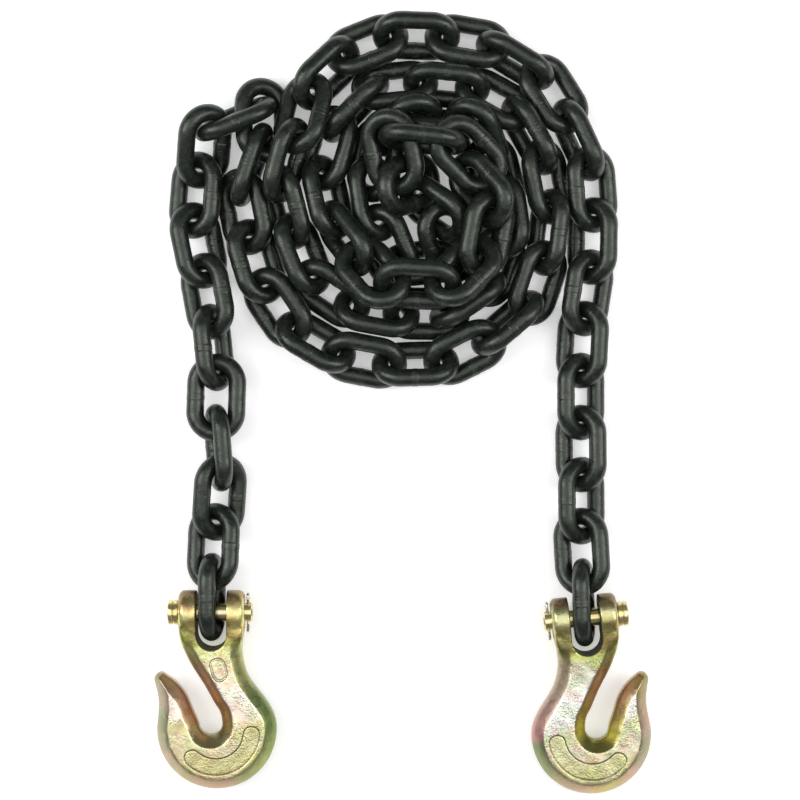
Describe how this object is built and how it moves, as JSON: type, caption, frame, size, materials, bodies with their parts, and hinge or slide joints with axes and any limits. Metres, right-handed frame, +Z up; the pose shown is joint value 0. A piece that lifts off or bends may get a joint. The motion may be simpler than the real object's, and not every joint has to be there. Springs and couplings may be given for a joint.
{
  "type": "tie-down chain with clevis grab hooks",
  "caption": "Coiled short-link tie-down chain with a clevis grab hook, clevis pin and split cotter pin on each end.",
  "frame": {"origin": "bottom centre of the whole part as it lies on the ground", "axes": "+Z up from the ground, +Y from the hooks to the coil, +X to the right when seen from above with the hooks at the near side"},
  "size_m": [0.2792, 0.4402, 0.0551],
  "materials": {
    "black_chain": "black oxide with worn grey highlights",
    "yellow_zinc_forging": "forged, yellow chromate over zinc, iridescent",
    "yellow_zinc_pin": "smooth, yellow chromate over zinc",
    "zinc_wire": "bright zinc"
  },
  "bodies": {
    "coil": {"coil_links_01": "black_chain", "coil_links_02": "black_chain", "coil_links_03": "black_chain", "coil_links_04": "black_chain", "coil_links_05": "black_chain", "coil_links_06": "black_chain", "coil_links_07": "black_chain", "coil_links_08": "black_chain", "coil_links_09": "black_chain", "coil_links_10": "black_chain", "coil_links_11": "black_chain", "coil_links_12": "black_chain", "coil_links_13": "black_chain", "coil_links_14": "black_chain", "coil_links_15": "black_chain", "coil_links_16": "black_chain", "coil_links_17": "black_chain", "coil_links_18": "black_chain", "coil_links_19": "black_chain", "coil_links_20": "black_chain", "coil_links_21": "black_chain", "coil_links_22": "black_chain", "coil_links_23": "black_chain", "coil_links_24": "black_chain", "coil_links_25": "black_chain", "coil_links_26": "black_chain", "coil_links_27": "black_chain", "coil_links_28": "black_chain", "coil_links_29": "black_chain", "coil_links_30": "black_chain", "coil_links_31": "black_chain", "coil_links_32": "black_chain", "coil_links_33": "black_chain"},
    "right_run_link_6": {"right_run_link_6": "black_chain"},
    "right_run_link_5": {"right_run_link_5": "black_chain"},
    "right_run_link_4": {"right_run_link_4": "black_chain"},
    "right_run_link_3": {"right_run_link_3": "black_chain"},
    "right_run_link_2": {"right_run_link_2": "black_chain"},
    "right_run_link_1": {"right_run_link_1": "black_chain"},
    "right_hook": {"right_hook": "yellow_zinc_forging"},
    "right_pin": {"right_clevis_pin": "yellow_zinc_pin", "right_cotter_pin": "zinc_wire"},
    "left_run_link_5": {"left_run_link_5": "black_chain"},
    "left_run_link_4": {"left_run_link_4": "black_chain"},
    "left_run_link_3": {"left_run_link_3": "black_chain"},
    "left_run_link_2": {"left_run_link_2": "black_chain"},
    "left_run_link_1": {"left_run_link_1": "black_chain"},
    "left_hook": {"left_hook": "yellow_zinc_forging"},
    "left_pin": {"left_clevis_pin": "yellow_zinc_pin", "left_cotter_pin": "zinc_wire"}
  },
  "joints": [
    {"name": "right_run_link_6_swing", "type": "hinge", "parent": "coil", "child": "right_run_link_6", "pos_m": [0.1016, 0.0477, 0.01296], "axis": [0, 0, 1], "range_deg": [-7, 8]},
    {"name": "right_run_link_5_swing", "type": "hinge", "parent": "right_run_link_6", "child": "right_run_link_5", "pos_m": [0.10016, 0.01841, 0.01281], "axis": [0, 0, 1], "range_deg": [-7, 8]},
    {"name": "right_run_link_4_swing", "type": "hinge", "parent": "right_run_link_5", "child": "right_run_link_4", "pos_m": [0.10022, -0.0109, 0.01274], "axis": [0, 0, 1], "range_deg": [-8, 8]},
    {"name": "right_run_link_3_swing", "type": "hinge", "parent": "right_run_link_4", "child": "right_run_link_3", "pos_m": [0.10045, -0.04023, 0.01311], "axis": [0, 0, 1], "range_deg": [-8, 8]},
    {"name": "right_run_link_2_swing", "type": "hinge", "parent": "right_run_link_3", "child": "right_run_link_2", "pos_m": [0.10018, -0.06927, 0.01274], "axis": [0, 0, 1], "range_deg": [-6, 7]},
    {"name": "right_run_link_1_swing", "type": "hinge", "parent": "right_run_link_2", "child": "right_run_link_1", "pos_m": [0.10124, -0.09756, 0.01685], "axis": [0, 0, 1], "range_deg": [-6, 8]},
    {"name": "right_hook_swing", "type": "hinge", "parent": "right_run_link_1", "child": "right_hook", "pos_m": [0.10186, -0.12047, 0.01578], "axis": [-0.9947, -0.1028, 0], "range_deg": [0, 85]},
    {"name": "right_pin_turn", "type": "hinge", "parent": "right_hook", "child": "right_pin", "pos_m": [0.10186, -0.12047, 0.01578], "axis": [-0.9947, -0.1028, 0], "continuous": true},
    {"name": "left_run_link_5_swing", "type": "hinge", "parent": "coil", "child": "left_run_link_5", "pos_m": [-0.10429, 0.01731, 0.01597], "axis": [0, 0, 1], "range_deg": [-7, 6]},
    {"name": "left_run_link_4_swing", "type": "hinge", "parent": "left_run_link_5", "child": "left_run_link_4", "pos_m": [-0.10527, -0.01096, 0.01661], "axis": [0, 0, 1], "range_deg": [-7, 7]},
    {"name": "left_run_link_3_swing", "type": "hinge", "parent": "left_run_link_4", "child": "left_run_link_3", "pos_m": [-0.10189, -0.0391, 0.01608], "axis": [0, 0, 1], "range_deg": [-9, 6]},
    {"name": "left_run_link_2_swing", "type": "hinge", "parent": "left_run_link_3", "child": "left_run_link_2", "pos_m": [-0.10532, -0.06695, 0.01139], "axis": [0, 0, 1], "range_deg": [-6, 7]},
    {"name": "left_run_link_1_swing", "type": "hinge", "parent": "left_run_link_2", "child": "left_run_link_1", "pos_m": [-0.10728, -0.09469, 0.01676], "axis": [0, 0, 1], "range_deg": [-6, 8]},
    {"name": "left_hook_swing", "type": "hinge", "parent": "left_run_link_1", "child": "left_hook", "pos_m": [-0.10724, -0.11747, 0.01578], "axis": [-1, 0, 0], "range_deg": [0, 85]},
    {"name": "left_pin_turn", "type": "hinge", "parent": "left_hook", "child": "left_pin", "pos_m": [-0.10724, -0.11747, 0.01578], "axis": [-1, 0, 0], "continuous": true}
  ]
}
